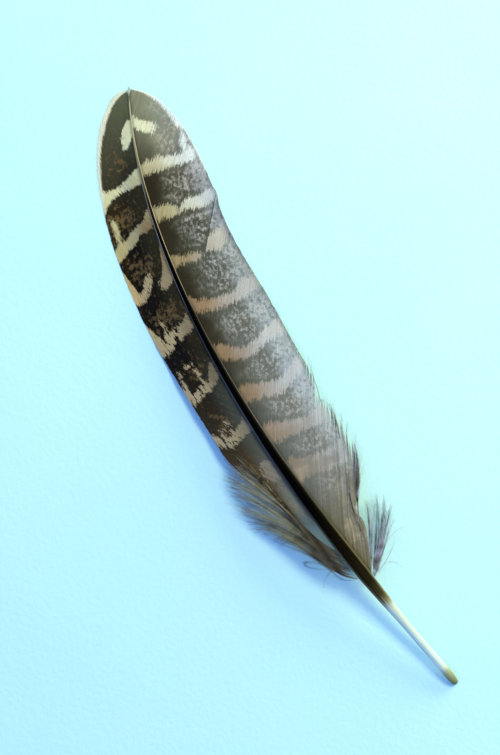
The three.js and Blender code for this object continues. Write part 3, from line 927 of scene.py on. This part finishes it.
# The tuft beside the wide vane is smaller, and fans out at 35 to 65 degrees to the shaft.
WIDE_FAN = (
    ((60.5, 3, 9), (61.5, 8, 9.3), (64.5, 15, 8.8), (69, 20.5, 7)),
    ((61, 3, 9.2), (64, 9, 9.4), (70, 16, 8.3), (76.5, 24.5, 5)),
    ((61.5, 3, 9.3), (66, 9, 9.4), (73, 16.5, 8.3), (82.5, 26.5, 4)),
    ((62.5, 3.1, 9.4), (68, 9, 9.4), (76, 17, 8), (86.7, 24.8, 3.5)),
    ((64, 3.1, 9.5), (71, 9, 9.4), (81, 16.5, 7.8), (90, 22, 3)),
)
WIDE_STRAYS = (
    ((60.5, 3, 9), (62.5, 9, 9), (65, 18, 8.3), (69, 20.8, 7)),
    ((62, 3, 9), (68, 14, 8.5), (73.5, 21, 7), (68, 28.5, 3)),
    ((61, 3, 9), (65, 12, 8.6), (61, 14.5, 8), (54, 15.4, 6)),
)
clump = np.repeat(np.arange(11), 8)
centres = np.array([0.26, 0.36, 0.40, 0.46, 0.50, 0.54, 0.60, 0.68, 0.76, 0.94, 1.0])
places = centres[clump] + chance.normal(0, 0.02, len(clump))
fan = strands(WIDE_FAN, places, clump, (2.2, 1.8, 0.6), 0.9, 36)
odd = bezier(np.array(WIDE_STRAYS, float))
lines = np.concatenate([fan, odd])
thick = np.concatenate([chance.uniform(0.06, 0.14, len(fan)), (0.12, 0.08, 0.06)])
wide_down = make_tuft(
    "wide_side_down", lines, thick, 1.1, 0.1, 0.9, "down_wide_side", 1, 38)

# The tips of the wide vane's lowest barbs are loose as well, and lie along its edge in dark wisps, with
# one more wisp over the vane just inside it.
EDGE_FAN = (
    ((70, 7.5, 11.2), (78, 10.6, 11.6), (86, 12.2, 11), (91, 16, 9.6), (97, 22.5, 8.6)),
    ((80, 10.6, 11.6), (88, 13.5, 11), (93, 18, 9.6), (99, 24.5, 8), (106, 28.5, 7)),
    ((92, 16, 10), (98, 22.5, 9), (103, 26.5, 8), (107, 29, 7.2), (112, 31.5, 6.4)),
    ((102, 23, 8.6), (108, 26.8, 7.8), (112, 29, 7.2), (115, 30.8, 6.6), (119, 32.6, 6)),
    ((112, 26.5, 7.6), (117, 29, 7), (121, 30.6, 6.5), (124, 31.8, 6.1), (128, 33.2, 5.7)),
    ((122, 28, 7), (126, 29.6, 6.6), (130, 31, 6.2), (133, 32, 5.8), (136, 33, 5.5)),
    ((138, 29.5, 5.8), (143, 31.4, 5.4), (148, 32.8, 5), (152, 34, 4.6), (156, 35, 4.4)),
)
INNER_WISP = ((77, 9.2, 12.3), (85, 12, 12.4), (92, 14, 11.8), (99, 17, 11.2), (105, 21.5, 10.2))
centres = np.concatenate([chance.uniform(0, 0.34, 9), chance.uniform(0.36, 0.84, 8), [1.0]])
clump = np.repeat(np.arange(len(centres)), 3)
places = centres[clump] + chance.normal(0, 0.008, len(clump))
lines = strands(EDGE_FAN, places, clump, (1.9, 1.2, 0.3), 0.3, 40)
inner = strands((INNER_WISP, INNER_WISP), np.zeros(15), np.arange(15) // 5, (1.2, 0.8, 0.2), 0.2, 41)
lines = np.concatenate([lines, inner])
thick = chance.uniform(0.045, 0.075, len(lines))
edge_wisps = make_tuft(
    "wide_edge_wisps", lines, thick, 0.5, 0.1, 0.0, "wide_vane", 1, 42)

# The paler down is dull at the root, dark brown a little way up, cream further out and brown at the tip.
# Some strands are silvery in their outer half, a pale colour that is partly a painted highlight, and
# some are dark all along.
down, tree, surface = new_finish("down")
at = add_node("TexCoord").outputs["Object"]
patchy = noise(at, 260.0, 3.0)
end = value_of("end")
body = colours_by(
    end, (0.0, 140, 138, 112), (0.12, 112, 108, 84), (0.22, 66, 58, 42), (0.34, 100, 92, 68),
    (0.44, 158, 149, 108), (0.58, 214, 206, 150), (0.86, 208, 200, 146), (1.0, 104, 90, 76))
silver = scaled(value_of("tone"), 0.17, patchy)
lit = times(fade(silver, 0.52, 0.84), fade(end, 0.3, 0.5))
# The silvery strands' pale colour is partly a painted highlight.
colour = paint(lit, body, rgb(206, 211, 192))
colour = paint(fade(silver, 0.44, 0.22), colour, rgb(60, 48, 40))
set_surface(colour, scaled(patchy, 0.3, 0.55), 0.15)
surface.inputs["Sheen Weight"].default_value = 0.05
lower_down.data.materials.append(down)
upper_down.data.materials.append(down)

# The wide vane's tuft and the loose tips along its edge are dark with silvery strands, whose pale blue is
# partly a painted highlight, the sky's reflection.
wisps, tree, surface = new_finish("dark_wisps")
at = add_node("TexCoord").outputs["Object"]
patchy = noise(at, 260.0, 3.0)
body = colours_by(value_of("end"), (0.0, 84, 76, 60), (0.35, 66, 58, 48), (1.0, 88, 84, 92))
silver = scaled(value_of("tone"), 0.16, patchy)
# The silvery strands' pale blue is partly a painted highlight.
colour = paint(fade(silver, 0.5, 0.85), body, rgb(184, 194, 226))
set_surface(colour, 0.6, 0.1)
wide_down.data.materials.append(wisps)
edge_wisps.data.materials.append(wisps)

# ---- Paper, light and camera -------------------------------------
# The feather lies on a large sheet of pale paper. Two soft, warm lamps hang to one side, one high and
# one low, and the sky around them fills the shadows with blue. Places here are in metres.

PAPER_REACH = 0.9
PAPER_CELLS = 60

rows = np.linspace(-PAPER_REACH, PAPER_REACH, PAPER_CELLS + 1)
x, y = np.meshgrid(rows, rows, indexing="ij")
paper_points = np.stack([x, y, 0 * x], -1).reshape(-1, 3)
cell = np.arange(PAPER_CELLS)
corner = (cell[:, None] * len(rows) + cell[None, :]).reshape(-1, 1)
paper_mesh = bpy.data.meshes.new("paper")
paper_mesh.from_pydata(paper_points, [], (corner + [0, len(rows), len(rows) + 1, 1]).tolist())
paper = put_in_scene("paper", paper_mesh)

paper_finish, tree, surface = new_finish("paper")
at = add_node("TexCoord").outputs["Object"]
soft = noise(at, 9.0, 3.0)
tooth = noise(at, 420.0, 4.0)
colour = paint(soft, (0.43, 0.82, 0.90, 1.0), (0.49, 0.86, 0.93, 1.0))
set_surface(colour, 0.9, 0.05)
roughen(scaled(soft, 6.0, tooth), 0.35, 0.0004)
paper_mesh.materials.append(paper_finish)

world = bpy.data.worlds.new("sky")
world.use_nodes = True
world.node_tree.nodes["Background"].inputs["Color"].default_value = (0.40, 0.52, 1.03, 1.0)
bpy.context.scene.world = world


def hang_lamp(name, place, width, height, energy):
    """A soft rectangular lamp at that place, facing the feather: its own Z axis points back along the line
    from the feather to it."""
    lamp = bpy.data.lights.new(name, "AREA")
    lamp.shape = "RECTANGLE"
    lamp.size = width
    lamp.size_y = height
    lamp.color = (1.0, 0.83, 0.28)
    lamp.energy = energy
    holder = put_in_scene(name, lamp)
    back = np.array(place) / np.linalg.norm(place)
    sideways = np.cross([0, 0, 1.0], back)
    sideways /= np.linalg.norm(sideways)
    columns = np.stack([sideways, np.cross(back, sideways), back, place], 1)
    holder.matrix_world = Matrix([*columns.tolist(), [0, 0, 0, 1]])


hang_lamp("high_lamp", (0.74, 0.21, 0.92), 0.42, 0.36, 11.4)
hang_lamp("low_lamp", (1.24, 0.35, 0.38), 0.9, 0.45, 18.5)

# The camera looks straight down from 0.6 over the paper, turned 29 degrees.
lens = bpy.data.cameras.new("camera")
lens.lens = 65.0
camera = put_in_scene("camera", lens)
camera.matrix_world = Matrix((
    (0.8743, 0.4853, 0, 0.0011),
    (-0.4853, 0.8743, 0, 0.0126),
    (0, 0, 1, 0.604),
    (0, 0, 0, 1),
))
bpy.context.scene.camera = camera
bpy.context.scene.view_settings.view_transform = "Standard"
